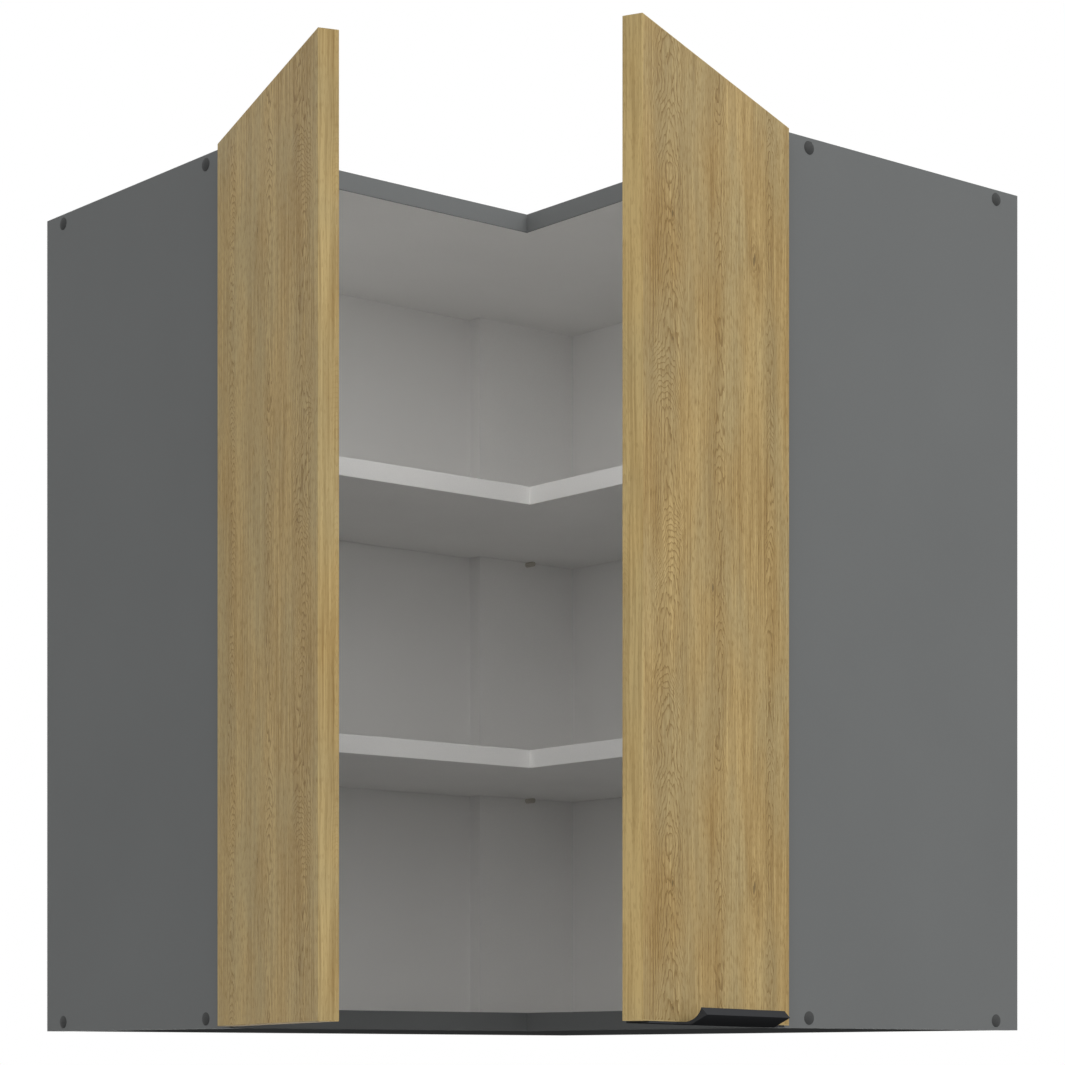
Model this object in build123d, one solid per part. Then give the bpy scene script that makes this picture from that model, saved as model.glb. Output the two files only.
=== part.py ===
from build123d import *
import os
from math import atan2, cos, degrees, hypot, radians, sin

# Corner wall cabinet: two equal legs along two walls, one oak-faced door on each leg.
# Frame: the origin is where the two walls and the level of the underside meet, +Z is up.
# The left leg runs to -X with its front facing -Y, the right leg to -Y with its front facing -X.
# Everything is drawn for the left leg in leg coordinates, u out of the corner along the wall and
# v out of the wall towards the front. The right leg is its mirror image.
CORNER_PLANE = Plane(origin=(0, 0, 0), z_dir=(1, -1, 0))

# --- driving dimensions, mm ---
leg = 600.0                  # each leg along its wall
depth = 288.0                # carcass depth from the wall to the front edges
height = 716.0               # carcass height
board = 16.0                 # melamine-faced chipboard
edging = 0.8                 # edge band on every front edge and all round the doors
edging_round = 0.5           # its milled corners
back_set_in = 10.0           # from the wall to the rear face of the backs
back_thickness = 3.0         # hardboard backs
groove_depth = 5.0           # for the backs, in the side panels
groove_play = 0.05
fit_gap = 0.02               # between a fastener and its hole
recess_span, recess_width, recess_depth = 3.2, 0.9, 1.0   # cross recess of the small screws

shelf_count = 2
shelf_recess = 20.0          # shelf front behind the carcass front
shelf_play = 0.5             # each end of a shelf
shelf_back_play = 1.0        # between a shelf and a back

stiffener_width = 120.0      # upright board in the corner, behind the shelves
dowel_r, dowel_in_board, dowel_in_stiffener = 4.0, 10.0, 20.0
dowel_from_edge = 30.0

screw_from_wall, screw_from_front = 27.3, 36.0   # carcass screws
screw_shank_r, screw_thread_r, screw_head_r = 3.5, 2.5, 4.75
screw_length, screw_head, screw_hole_extra = 50.0, 3.0, 1.0
socket_r, socket_depth = 2.0, 2.4
cap_r, cap_height, cap_edge = 5.45, 1.7, 0.9
cap_peg_r, cap_peg = 1.9, 2.0

pin_r, pin_in, pin_out = 2.5, 8.0, 10.0
pin_flat = 0.5               # flat on top of a shelf pin
pin_from_wall, pin_from_front = 58.0, 62.0
pin_hole_extra = 0.5         # a pin hole is deeper than its pin

nail_r, nail_length, nail_head_r, nail_head = 0.8, 18.0, 2.0, 0.8
edge_nail_shares = (0.3, 0.5, 0.7, 0.9)          # along the leg
left_nail_shares = (0.2, 0.5, 0.8)               # up the corner board
right_nail_shares = (0.15, 0.45, 0.75)

door_thickness = 16.0
door_gap = 2.0               # doors stand off the carcass front
door_side_play = 1.0         # outer edge of a door inside the face of the side panel
corner_play = 3.0            # free edge of a door to the face line of the other door
door_bottom = 1.5            # lower edge of the doors above the underside
door_top_gap = 1.5           # upper edge of the doors below the top
pivot_inset, pivot_ahead = 0.5, 1.8   # door axis: in from the door's outer edge, ahead of its back
open_left, open_right = 109.5, 114.5  # how far each door stands open, degrees

cup_centre = 22.5            # from the door's outer edge
cup_r, cup_wall, cup_depth = 17.45, 0.9, 11.3
cup_play = 0.05
flange = 1.0                 # thickness of the cup's flange and its ears
flange_r = 19.0
ear_width, ear_span, ear_offset, ear_pitch = 13.0, 60.0, 6.0, 24.0
ear_corner, bowl_corner = 5.0, 2.5
cup_screw_r, cup_screw_length, cup_screw_head_r = 1.75, 12.0, 3.2
cup_pin_r, cup_pin_u, cup_pin_depth, cup_pin_bite = 1.5, 2.0, 6.0, 0.4
hinge_from_end = 100.0       # hinge line to the top and bottom edge of a door

system_line = 37.0           # hinge plate screws behind the front
plate_thickness, plate_rear, plate_front, plate_span, plate_pitch = 2.5, 15.0, 11.0, 48.0, 16.0
plate_corner = 4.0
block_rear, block_front = 14.0, 8.0   # the plate's raised block, each way from the screw line
block_half = 8.9             # half its height
arm_top = 17.0               # arm's outer face from the side panel
arm_sheet = 1.5
arm_half = 10.5              # half height of the arm
arm_rear, arm_web_front = 66.0, 26.0   # ends of the arm's web behind the front
arm_lift = 0.2               # the arm's cheeks clear the plate
arm_screw_r, arm_screw_length, arm_screw_head_r, arm_screw_head = 2.0, 9.0, 4.0, 1.5
arm_head_r = 3.4
euro_screw_r, euro_screw_length, euro_head_r, euro_head = 2.5, 11.0, 4.0, 1.4
arm_pin_u, arm_pin_v, arm_pin_r = 7.0, -0.5, 1.5   # in from the panel's inner face, from the front
rivet_head_r, rivet_head = 2.3, 0.5
link_half_width, link_half_height, link_eye_r = 1.5, 7.0, 3.0
pin_play = 0.05
link_tip_gap = 0.8           # the link's tip to the pin in the cup
link_closed_heading = 188.0  # the link's direction with the door shut, degrees

bumper_r, bumper_height, bumper_edge, bumper_u = 4.0, 1.7, 0.8, 16.0

pull_end = 10.5              # pull's end from the door's free edge
pull_sheet = 1.5
pull_back = 22.0             # height of the flange on the back of the door
lip_length = 168.0
lip_start = 4.3              # lip's upper curve starts this far ahead of the door's face
lip_low = 11.2               # where the lip's lower face starts
lip_low_drop = 0.5           # lip's lowest line under the pull's plate
lip_crease, lip_crease_up = 24.0, 5.1
lip_tip, lip_tip_up = 19.4, 10.4
pull_screw_r, pull_screw_length, pull_screw_head_r = 1.75, 12.0, 3.3
pull_screw_up, pull_screw_end, pull_screw_count = 12.0, 25.0, 3
lip_sag = 3.4                # depth of the lip's curve under its chord

hanger_width, hanger_depth, hanger_height, hanger_drop = 20.0, 44.0, 62.0, 2.0
hanger_wall, hanger_corner = 2.0, 3.0
guide_height, guide_from_back = 3.0, 3.0   # rib that carries the hook
hook_width, hook_sheet, hook_drop, hook_lip = 10.0, 3.0, 26.0, 18.0
hook_reach = 4.0             # hook's rear face from the wall
hook_inside = 20.0           # hook's length in the hanger's body
hanger_screw_r, hanger_screw_length, hanger_head_r, hanger_head = 2.0, 12.0, 3.5, 1.8
hanger_screw_end = 8.0
adjuster_r, adjuster_length, adjuster_proud, adjuster_pitch = 2.5, 16.0, 0.5, 12.0
slot_play = 2.0              # round the hook in the back

# --- derived places ---
screw_v = (screw_from_wall, depth - screw_from_front)
pin_v = (pin_from_wall, depth - pin_from_front)
plate_v = depth - system_line
inner_wall = back_set_in + back_thickness      # rear edge of the boards, front face of the backs
panel_in = leg - board                         # inner face of a side panel
front_core = depth - edging                    # front of a board before its edging
door_back = depth + door_gap
door_face = door_back + door_thickness
door_outer = leg - door_side_play
door_free = door_face + corner_play
door_width = door_outer - door_free
door_top = height - door_top_gap
pivot_u = door_outer - pivot_inset
pivot_v = door_back + pivot_ahead
bay = (height - (shelf_count + 2) * board) / (shelf_count + 1)
shelf_bottoms = [board + bay + i * (bay + board) for i in range(shelf_count)]
hinge_heights = (door_bottom + hinge_from_end, door_top - hinge_from_end)
stiffener_front = inner_wall + board


# --- shapes in leg coordinates ---
def block(u0, u1, v0, v1, z0, z1):
    middle = Pos(-(u0 + u1) / 2, -(v0 + v1) / 2, (z0 + z1) / 2)
    return middle * Box(u1 - u0, v1 - v0, z1 - z0)


def cross_v(u, z, v):
    """Cross recess of a screw along v whose head starts at v."""
    half, wide = recess_span / 2, recess_width / 2
    return (block(u - half, u + half, v, v + recess_depth, z - wide, z + wide)
            + block(u - wide, u + wide, v, v + recess_depth, z - half, z + half))


def cross_u(v, z, u):
    half, wide = recess_span / 2, recess_width / 2
    return (block(u, u + recess_depth, v - half, v + half, z - wide, z + wide)
            + block(u, u + recess_depth, v - wide, v + wide, z - half, z + half))


def post(u, v, z0, z1, r):
    return Pos(-u, -v, (z0 + z1) / 2) * Cylinder(r, z1 - z0)


def rod_u(v, z, u0, u1, r):
    return Pos(-(u0 + u1) / 2, -v, z) * Rot(0, 90, 0) * Cylinder(r, u1 - u0)


def rod_v(u, z, v0, v1, r):
    return Pos(-u, -(v0 + v1) / 2, z) * Rot(90, 0, 0) * Cylinder(r, v1 - v0)


def slab(points, z0, z1):
    outline = Polyline(*[(-u, -v) for u, v in points], close=True)
    return Pos(0, 0, z0) * extrude(make_face(outline), z1 - z0)


def right_leg(shape):
    return mirror(shape, about=CORNER_PLANE)


def joined(shapes):
    whole = shapes[0]
    for shape in shapes[1:]:
        whole = whole + shape
    return whole


def separate(shapes):
    return Compound(children=[solid for shape in shapes for solid in shape.solids()])


def opened(shape, angle):
    axis = Axis((-pivot_u, -pivot_v, 0), (0, 0, 1))
    return shape.rotate(axis, -angle)


def save(name, shape):
    export_step(shape, f"parts/{name}.step")


# --- carcass screws, their holes and caps ---
def screw_places():
    return [(v, z) for v in screw_v for z in (board / 2, height - board / 2)]


def carcass_screw(v, z):
    head = rod_u(v, z, leg - screw_head, leg, screw_head_r)
    shank = rod_u(v, z, panel_in, leg - screw_head, screw_shank_r)
    thread = rod_u(v, z, leg - screw_length, panel_in, screw_thread_r)
    socket = rod_u(v, z, leg - socket_depth, leg, socket_r)
    return head + shank + thread - socket


def screw_cap(v, z):
    dome = rod_u(v, z, leg, leg + cap_height, cap_r)
    rim = dome.edges().sort_by(Axis.X)[0]
    peg = rod_u(v, z, leg - cap_peg, leg, cap_peg_r)
    return fillet(rim, cap_edge) + peg


def screw_holes_in_panel():
    heads = [rod_u(v, z, leg - screw_head, leg, screw_head_r + fit_gap) for v, z in screw_places()]
    shanks = [rod_u(v, z, panel_in, leg, screw_shank_r + fit_gap) for v, z in screw_places()]
    return joined(heads + shanks)


def screw_holes_in_board(z):
    end = leg - screw_length - screw_hole_extra
    return joined([rod_u(v, z, end, panel_in, screw_thread_r + fit_gap) for v in screw_v])


# --- shelf pins ---
def side_pin(v, shelf_z):
    z = shelf_z + pin_flat - pin_r
    pin = rod_u(v, z, panel_in - pin_out, panel_in + pin_in, pin_r)
    flat = block(panel_in - pin_out, panel_in, v - pin_r, v + pin_r, shelf_z, shelf_z + pin_r)
    return pin - flat


def side_pin_holes():
    return joined([
        rod_u(v, z + pin_flat - pin_r, panel_in, panel_in + pin_in + pin_hole_extra,
              pin_r + fit_gap)
        for v in pin_v for z in shelf_bottoms
    ])


def corner_pin(shelf_z):
    u, z = inner_wall + stiffener_width / 2, shelf_z + pin_flat - pin_r
    pin = rod_v(u, z, stiffener_front - pin_in, stiffener_front + pin_out, pin_r)
    flat = block(u - pin_r, u + pin_r, stiffener_front, stiffener_front + pin_out,
                 shelf_z, shelf_z + pin_r)
    return pin - flat


def corner_pin_hole(shelf_z):
    u, z = inner_wall + stiffener_width / 2, shelf_z + pin_flat - pin_r
    return rod_v(u, z, stiffener_front - pin_in - pin_hole_extra, stiffener_front, pin_r + fit_gap)


# --- carcass boards ---
def side_panel():
    panel = block(panel_in, leg, 0, front_core, 0, height)
    groove = block(panel_in, panel_in + groove_depth + groove_play, back_set_in - groove_play,
                   inner_wall + groove_play, 0, height)
    panel = panel - groove - screw_holes_in_panel() - side_pin_holes()
    return panel - plate_screw_holes() - hanger_screw_holes()


def side_edging():
    band = block(panel_in, leg, front_core, depth, 0, height)
    return fillet(band.faces().sort_by(Axis.Y)[0].edges().filter_by(Axis.Z), edging_round)


def l_board(z):
    """Top or bottom: one L-shaped board between the side panels, in front of the backs."""
    w, f, p = inner_wall, front_core, panel_in
    shape = slab([(w, w), (p, w), (p, f), (f, f), (f, p), (w, p)], z, z + board)
    holes = screw_holes_in_board(z + board / 2)
    return shape - holes - right_leg(holes)


def l_edging(front, end, z):
    """Edge band along both front edges of an L-shaped board, mitred at the inner corner."""
    f, d = front - edging, front
    band = slab([(end, f), (end, d), (d, d), (d, end), (f, end), (f, f)], z, z + board)
    faces = band.faces()
    fronts = [face for face in faces if abs(face.center().Y + d) < 1e-6]
    fronts += [face for face in faces if abs(face.center().X + d) < 1e-6]
    long_edges = [edge for face in fronts for edge in face.edges() if edge.length > 2 * board]
    return fillet(long_edges, edging_round)


def shelf(z):
    w, s = inner_wall + shelf_back_play, stiffener_front + shelf_back_play
    n = inner_wall + stiffener_width + shelf_back_play
    f, p = depth - shelf_recess - edging, panel_in - shelf_play
    return slab([(n, w), (p, w), (p, f), (f, f), (f, p), (w, p), (w, s), (n, s)], z, z + board)


def back(corner_end):
    """One back: slid into the side panel's groove, nailed to the rear edges of top and bottom."""
    panel = block(corner_end, panel_in + groove_depth, back_set_in, inner_wall, 0, height)
    u0, u1, z0, z1 = hook_box()
    slot = block(u0 - slot_play, u1 + slot_play, back_set_in, inner_wall,
                 z0 - slot_play, z1 + slot_play)
    return panel - slot


def stiffener():
    """Upright board that closes the rear corner, dowelled between bottom and top."""
    upright = block(inner_wall, inner_wall + stiffener_width, inner_wall, stiffener_front,
                    board, height - board)
    holes = [corner_pin_hole(z) for z in shelf_bottoms] + [dowel(p, fit_gap) for p in dowel_places()]
    return upright - joined(holes) - right_leg(joined(corner_nails(fit_gap)))


def dowel_places():
    """Centre line u and the joint's level, with the sign of the way into the stiffener."""
    us = (inner_wall + dowel_from_edge, inner_wall + stiffener_width - dowel_from_edge)
    return [(u, z, way) for u in us for z, way in ((board, 1), (height - board, -1))]


def dowel(place, play=0.0):
    u, z, way = place
    ends = sorted((z - way * (dowel_in_board + play), z + way * (dowel_in_stiffener + play)))
    return post(u, inner_wall + board / 2, ends[0], ends[1], dowel_r + play)


# --- nails in the backs ---
def nail(u, z, play=0.0):
    shank = rod_v(u, z, back_set_in, back_set_in + nail_length + play, nail_r + play)
    head = rod_v(u, z, back_set_in - nail_head, back_set_in, nail_head_r)
    return shank + head


def edge_nails(play=0.0):
    us = [leg * share for share in edge_nail_shares]
    return [nail(u, z, play) for u in us for z in (board / 2, height - board / 2)]


def stiffener_nails(play=0.0):
    u = inner_wall + stiffener_width / 2
    return [nail(u, height * share, play) for share in left_nail_shares]


def corner_nails(play=0.0):
    """Nails of the right back into the stiffener's end, drawn in the right leg's coordinates."""
    return [nail(inner_wall + board / 2, height * share, play) for share in right_nail_shares]


# --- hinges ---
def cup_u():
    return door_outer - cup_centre


def cup_bore(z):
    return rod_v(cup_u(), z, door_back, door_back + cup_depth + cup_play, cup_r + cup_play)


def cup_pin(z, play=0.0):
    half = (cup_r - cup_wall) ** 2 - cup_pin_u ** 2
    half = half ** 0.5 + cup_pin_bite + play
    u, v = cup_u() + cup_pin_u, door_back + cup_pin_depth
    return post(u, v, z - half, z + half, cup_pin_r + play)


def cup_screw_places(z):
    return [(cup_u() - ear_offset, z + way * ear_pitch) for way in (-1, 1)]


def hinge_cup(z):
    u = cup_u()
    bowl = rod_v(u, z, door_back, door_back + cup_depth, cup_r)
    bowl = fillet(bowl.edges().sort_by(Axis.Y)[0], bowl_corner)
    plate = rod_v(u, z, door_back - flange, door_back, flange_r)
    ears = block(u - ear_offset - ear_width / 2, u - ear_offset + ear_width / 2,
                 door_back - flange, door_back, z - ear_span / 2, z + ear_span / 2)
    ears = fillet(ears.edges().filter_by(Axis.Y), ear_corner)
    hollow = rod_v(u, z, door_back - flange, door_back + cup_depth - cup_wall, cup_r - cup_wall)
    hollow = fillet(hollow.edges().sort_by(Axis.Y)[0], bowl_corner - cup_wall)
    holes = [cup_screw(p, q, fit_gap) for p, q in cup_screw_places(z)]
    return bowl + plate + ears - hollow - joined(holes) - cup_pin(z, fit_gap)


def cup_screw(u, z, play=0.0):
    shank = rod_v(u, z, door_back - flange, door_back + cup_screw_length - flange + play,
                  cup_screw_r + play)
    head = rod_v(u, z, door_back - flange, door_back - flange / 2, cup_screw_head_r + play)
    screw = shank + head
    return screw if play else screw - cross_v(u, z, door_back - flange)


def plate_screw_places(z):
    return [z - plate_pitch, z + plate_pitch]


def plate_screw(z, play=0.0):
    face = panel_in - plate_thickness
    shank = rod_u(plate_v, z, face, panel_in + euro_screw_length + play, euro_screw_r + play)
    head = rod_u(plate_v, z, face - euro_head, face, euro_head_r)
    screw = shank + head
    return screw if play else screw - cross_u(plate_v, z, face - euro_head)


def plate_screw_holes():
    return joined([plate_screw(q, fit_gap) for z in hinge_heights for q in plate_screw_places(z)])


def hinge_plate(z):
    """Mounting plate on the side panel with the raised block that the arm clips on."""
    face = panel_in - plate_thickness
    base = block(face, panel_in, plate_v - plate_rear, plate_v + plate_front,
                 z - plate_span / 2, z + plate_span / 2)
    base = fillet(base.edges().filter_by(Axis.X), plate_corner)
    raised = block(panel_in - arm_top + arm_sheet, face, plate_v - block_rear,
                   plate_v + block_front, z - block_half, z + block_half)
    holes = [plate_screw(q, fit_gap) for q in plate_screw_places(z)]
    return base + raised - joined(holes) - arm_screw(z, fit_gap)


def arm_screw(z, play=0.0):
    top = panel_in - arm_top
    shank = rod_u(plate_v, z, top, top + arm_screw_length + play, arm_screw_r + play)
    head = rod_u(plate_v, z, top - arm_screw_head, top, arm_screw_head_r)
    screw = shank + head
    return screw if play else screw - cross_u(plate_v, z, top - arm_screw_head)


def arm_pin_place():
    return panel_in - arm_pin_u, depth + arm_pin_v


def hinge_arm(z):
    """Sheet-steel arm: a channel over the plate's block, its two cheeks run on to the link's pin."""
    u, v = arm_pin_place()
    top, foot = panel_in - arm_top, panel_in - plate_thickness - arm_lift
    rear, front = depth - arm_rear, depth - arm_web_front
    web = block(top, top + arm_sheet, rear, front, z - arm_half, z + arm_half)
    outline = [(top, rear), (top, front), (u - arm_head_r, v), (u + arm_head_r, v),
               (foot, front), (foot, rear)]
    cheeks = []
    for low in (z - arm_half, z + arm_half - arm_sheet):
        head = post(u, v, low, low + arm_sheet, arm_head_r)
        cheeks.append(slab(outline, low, low + arm_sheet) + head)
    arm = web + cheeks[0] + cheeks[1]
    return arm - arm_pin(z, fit_gap) - arm_screw(z, fit_gap)


def arm_pin(z, play=0.0):
    u, v = arm_pin_place()
    pin = post(u, v, z - arm_half - play, z + arm_half + play, arm_pin_r + play)
    if play:
        return pin
    low = post(u, v, z - arm_half - rivet_head, z - arm_half, rivet_head_r)
    return pin + low + post(u, v, z + arm_half, z + arm_half + rivet_head, rivet_head_r)


def cup_pin_open(angle):
    """Where the pin in the cup stands with the door open, from the door's axis."""
    du, dv = cup_u() + cup_pin_u - pivot_u, door_back + cup_pin_depth - pivot_v
    a = radians(-angle)
    return pivot_u + cos(a) * du - sin(a) * dv, pivot_v + sin(a) * du + cos(a) * dv


def link_heading(angle):
    (u, v), (tu, tv) = arm_pin_place(), cup_pin_open(angle)
    return degrees(atan2(tv - v, tu - u))


def link_ratio(angle):
    return (link_closed_heading - link_heading(angle)) / angle


def hinge_link(z, angle):
    """Link from the arm's pin towards the pin in the cup, drawn with the door open."""
    (u, v), (tu, tv) = arm_pin_place(), cup_pin_open(angle)
    length = hypot(tu - u, tv - v) - cup_pin_r - link_tip_gap
    bar = Pos(-(u + length / 2), -v, z) * Box(length, 2 * link_half_width, 2 * link_half_height)
    eye = post(u, v, z - link_half_height, z + link_half_height, link_eye_r)
    hole = post(u, v, z - link_half_height, z + link_half_height, arm_pin_r + pin_play)
    return (bar + eye - hole).rotate(Axis((-u, -v, 0), (0, 0, 1)), link_heading(angle))


# --- doors ---
def door_board():
    core = block(door_free + edging, door_outer - edging, door_back, door_face,
                 door_bottom + edging, door_top - edging)
    holes = [cup_bore(z) for z in hinge_heights]
    holes += [cup_screw(u, q, fit_gap) for z in hinge_heights for u, q in cup_screw_places(z)]
    return core - joined(holes)


def door_edging():
    outer = block(door_free, door_outer, door_back, door_face, door_bottom, door_top)
    inner = block(door_free + edging, door_outer - edging, door_back, door_face,
                  door_bottom + edging, door_top - edging)
    rims = [outer.faces().sort_by(Axis.Y)[end] for end in (0, -1)]
    return fillet([edge for face in rims for edge in face.edges()], edging_round) - inner


def bumper(z):
    pad = rod_v(door_free + bumper_u, z, door_back - bumper_height, door_back, bumper_r)
    return fillet(pad.edges().sort_by(Axis.Y)[-1], bumper_edge)


def pull():
    """Black edge pull: back flange, plate under the door's lower edge and a curved grip lip."""
    start, end = door_free + pull_end, door_outer - pull_end
    under = door_bottom - pull_sheet
    flange_leg = block(start, end, door_back - pull_sheet, door_back, under, door_bottom + pull_back)
    plate = block(start, end, door_back - pull_sheet, door_face, under, door_bottom)
    middle = (door_free + door_outer) / 2
    face, z = -door_face, door_bottom
    low, crease, tip = face - lip_low, face - lip_crease, face - lip_tip
    rise = SagittaArc((face - lip_start, z), (tip, z + lip_tip_up), lip_sag)
    rest = Polyline((tip, z + lip_tip_up), (crease, z + lip_crease_up), (low, under - lip_low_drop),
                    (face, under), (face, z), (face - lip_start, z))
    section = make_face(Plane.YZ * (rise + rest))
    lip = Pos(-(middle - lip_length / 2), 0, 0) * extrude(section, -lip_length)
    screws = joined([pull_screw(u, fit_gap) for u in pull_screw_places()])
    return flange_leg + plate + lip - screws


def pull_screw_places():
    inset = pull_end + pull_screw_end
    first, last = door_free + inset, door_outer - inset
    step = (last - first) / (pull_screw_count - 1)
    return [first + i * step for i in range(pull_screw_count)]


def pull_screw(u, play=0.0):
    rear, z = door_back - pull_sheet, door_bottom + pull_screw_up
    shank = rod_v(u, z, rear, rear + pull_screw_length + play, pull_screw_r + play)
    head = rod_v(u, z, rear, rear + pull_sheet / 2, pull_screw_head_r + play)
    screw = shank + head
    return screw if play else screw - cross_v(u, z, rear)


# --- hangers ---
def hanger_box():
    top = height - board - hanger_drop
    return panel_in - hanger_width, panel_in, inner_wall, inner_wall + hanger_depth, \
        top - hanger_height, top


def hook_box():
    """Width and height of the hook where it passes the back."""
    u0, u1, _, _, _, top = hanger_box()
    middle = (u0 + u1) / 2
    z1 = top - hook_drop
    return middle - hook_width / 2, middle + hook_width / 2, z1 - hook_sheet, z1


def hanger_body():
    u0, u1, v0, v1, z0, z1 = hanger_box()
    shell = block(u0, u1, v0, v1, z0, z1)
    shell = fillet(shell.edges().filter_by(Axis.Z).group_by(Axis.Y)[0], hanger_corner)
    inside = block(u0 + hanger_wall, u1 - hanger_wall, v0, v1 - hanger_wall,
                   z0 + hanger_wall, z1 - hanger_wall)
    screws = joined([hanger_screw(z, fit_gap) for z in hanger_screw_heights()])
    adjusters = joined([hanger_adjuster(z, fit_gap) for z in adjuster_heights()])
    return shell - inside + hanger_guide() - screws - adjusters


def hanger_guide():
    """Rib across the body that the hook rests on."""
    u0, u1, v0, _, _, _ = hanger_box()
    _, _, z0, _ = hook_box()
    return block(u0 + hanger_wall, u1 - hanger_wall, v0 + guide_from_back, v0 + hook_inside,
                 z0 - guide_height, z0)


def hanger_hook():
    """Steel hook through the back that drops over the wall rail."""
    u0, u1, z0, z1 = hook_box()
    tongue = block(u0, u1, hook_reach, inner_wall + hook_inside, z0, z1)
    lip = block(u0, u1, hook_reach, hook_reach + hook_sheet, z1 - hook_lip, z1)
    return tongue + lip


def hanger_screw_heights():
    _, _, _, _, z0, z1 = hanger_box()
    return z0 + hanger_screw_end, z1 - hanger_screw_end


def hanger_screw(z, play=0.0):
    v, face = inner_wall + hanger_depth / 2, panel_in - hanger_wall
    shank = rod_u(v, z, face, face + hanger_screw_length + play, hanger_screw_r + play)
    head = rod_u(v, z, face - hanger_head, face, hanger_head_r)
    screw = shank + head
    return screw if play else screw - cross_u(v, z, face - hanger_head)


def adjuster_heights():
    _, _, z0, _ = hook_box()
    return z0 - adjuster_pitch, z0 - 2 * adjuster_pitch


def hanger_adjuster(z, play=0.0):
    """Screw in the body's front wall that sets the hook's height or depth."""
    u0, u1, _, v1, _, _ = hanger_box()
    u, front = (u0 + u1) / 2, v1 + adjuster_proud
    screw = rod_v(u, z, front - adjuster_length, front, adjuster_r + play)
    return screw if play else screw - cross_v(u, z, front - recess_depth)


def hanger_screw_holes():
    return joined([hanger_screw(z, fit_gap) for z in hanger_screw_heights()])


# --- build and save ---
def save_carcass():
    save("left_side_panel", side_panel())
    save("right_side_panel", right_leg(side_panel()))
    save("left_side_edging", side_edging())
    save("right_side_edging", right_leg(side_edging()))
    back_nail_holes = joined(edge_nails(fit_gap) + stiffener_nails(fit_gap))
    right_nail_holes = right_leg(joined(edge_nails(fit_gap) + corner_nails(fit_gap)))
    dowel_holes = joined([dowel(place, fit_gap) for place in dowel_places()])
    for name, z in (("bottom_board", 0), ("top_board", height - board)):
        save(name, l_board(z) - dowel_holes - back_nail_holes - right_nail_holes)
    save("bottom_edging", l_edging(depth, panel_in, 0))
    save("top_edging", l_edging(depth, panel_in, height - board))
    for name, z in zip(("lower_shelf", "upper_shelf"), shelf_bottoms):
        save(name, shelf(z))
        save(f"{name}_edging", l_edging(depth - shelf_recess, panel_in - shelf_play, z))
    save("left_back_panel", back(back_set_in) - back_nail_holes)
    save("right_back_panel", right_leg(back(inner_wall)) - right_nail_holes)
    save("corner_stiffener", stiffener() - back_nail_holes)


def save_fasteners():
    screws = [carcass_screw(v, z) for v, z in screw_places()]
    caps = [screw_cap(v, z) for v, z in screw_places()]
    pins = [side_pin(v, z) for v in pin_v for z in shelf_bottoms]
    save("carcass_screws", separate(screws + [right_leg(s) for s in screws]))
    save("screw_caps", separate(caps + [right_leg(s) for s in caps]))
    save("shelf_pins", separate(pins + [right_leg(s) for s in pins]
                                + [corner_pin(z) for z in shelf_bottoms]))
    save("stiffener_dowels", separate([dowel(place) for place in dowel_places()]))
    save("left_back_nails", separate(edge_nails() + stiffener_nails()))
    save("right_back_nails", separate([right_leg(n) for n in edge_nails() + corner_nails()]))


def save_leg(side, angle, placed):
    """Door, hinges and hanger of one leg; placed turns left-leg shapes into this leg's."""
    def on_door(shapes):
        return separate([placed(opened(s, angle)) for s in shapes])

    def on_carcass(shapes):
        return separate([placed(s) for s in shapes])

    screws = [cup_screw(u, q) for z in hinge_heights for u, q in cup_screw_places(z)]
    save(f"{side}_hinge_cups", on_door([hinge_cup(z) for z in hinge_heights]))
    save(f"{side}_cup_pins", on_door([cup_pin(z) for z in hinge_heights]))
    save(f"{side}_cup_screws", on_door(screws))
    save(f"{side}_hinge_links", on_carcass([hinge_link(z, angle) for z in hinge_heights]))
    save(f"{side}_hinge_arms", on_carcass([hinge_arm(z) for z in hinge_heights]))
    save(f"{side}_arm_pins", on_carcass([arm_pin(z) for z in hinge_heights]))
    save(f"{side}_arm_screws", on_carcass([arm_screw(z) for z in hinge_heights]))
    save(f"{side}_hinge_plates", on_carcass([hinge_plate(z) for z in hinge_heights]))
    plate_screws = [plate_screw(q) for z in hinge_heights for q in plate_screw_places(z)]
    save(f"{side}_plate_screws", on_carcass(plate_screws))
    save(f"{side}_hanger_body", placed(hanger_body()))
    save(f"{side}_hanger_hook", placed(hanger_hook()))
    save(f"{side}_hanger_screws", on_carcass([hanger_screw(z) for z in hanger_screw_heights()]))
    save(f"{side}_hanger_adjusters", on_carcass([hanger_adjuster(z) for z in adjuster_heights()]))


def save_doors():
    upper, lower = height - board / 2, board / 2
    save("left_door", opened(door_board(), open_left))
    save("left_door_edging", opened(door_edging(), open_left))
    pads = [opened(bumper(z), open_left) for z in (upper, lower)]
    save("left_door_bumpers", separate(pads))
    screws = [pull_screw(u) for u in pull_screw_places()]
    holes = joined([pull_screw(u, fit_gap) for u in pull_screw_places()])
    save("right_door", right_leg(opened(door_board() - holes, open_right)))
    save("right_door_edging", right_leg(opened(door_edging(), open_right)))
    save("right_door_bumper", right_leg(opened(bumper(upper), open_right)))
    save("right_door_pull", right_leg(opened(pull(), open_right)))
    save("right_door_pull_screws", separate([right_leg(opened(s, open_right)) for s in screws]))


def main():
    os.makedirs("parts", exist_ok=True)
    save_carcass()
    save_fasteners()
    save_leg("left", open_left, lambda shape: shape)
    save_leg("right", open_right, right_leg)
    save_doors()
    print("door axis", -pivot_u, -pivot_v, "width", door_width)
    print("link ratios", link_ratio(open_left), link_ratio(open_right))
    print("shelf bottoms", shelf_bottoms, "hinge heights", hinge_heights)


main()
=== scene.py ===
import math
import bpy
from mathutils import Matrix, Vector


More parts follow.
